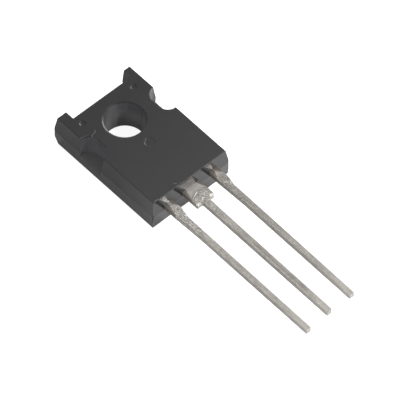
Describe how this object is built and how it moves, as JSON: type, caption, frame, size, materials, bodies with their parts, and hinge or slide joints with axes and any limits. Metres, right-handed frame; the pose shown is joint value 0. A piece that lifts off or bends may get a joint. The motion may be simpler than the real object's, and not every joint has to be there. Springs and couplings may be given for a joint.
{
  "type": "transistor",
  "caption": "Power transistor in a flat black moulded package with a screw hole, corner ears, side notches and a row of straight tinned leads.",
  "frame": {"origin": "centre of the screw hole, on the back face that lies against a heat sink", "axes": "+Z out of the front face along the screw hole, -Y along the leads, +X to the right seen from the front with the leads down"},
  "size_m": [0.0078, 0.0267, 0.0029],
  "materials": {
    "epoxy": "fine matt moulding compound",
    "tinned_leads": "matt mottled tin",
    "solder": "satin",
    "silicon": "polished",
    "bond_wire": "bright drawn"
  },
  "bodies": {
    "root": {"moulded_body": "epoxy", "collector_lead": "tinned_leads", "emitter_lead": "tinned_leads", "base_lead": "tinned_leads", "die_solder": "solder", "silicon_die": "silicon", "emitter_wire": "bond_wire", "base_wire": "bond_wire"}
  },
  "joints": []
}
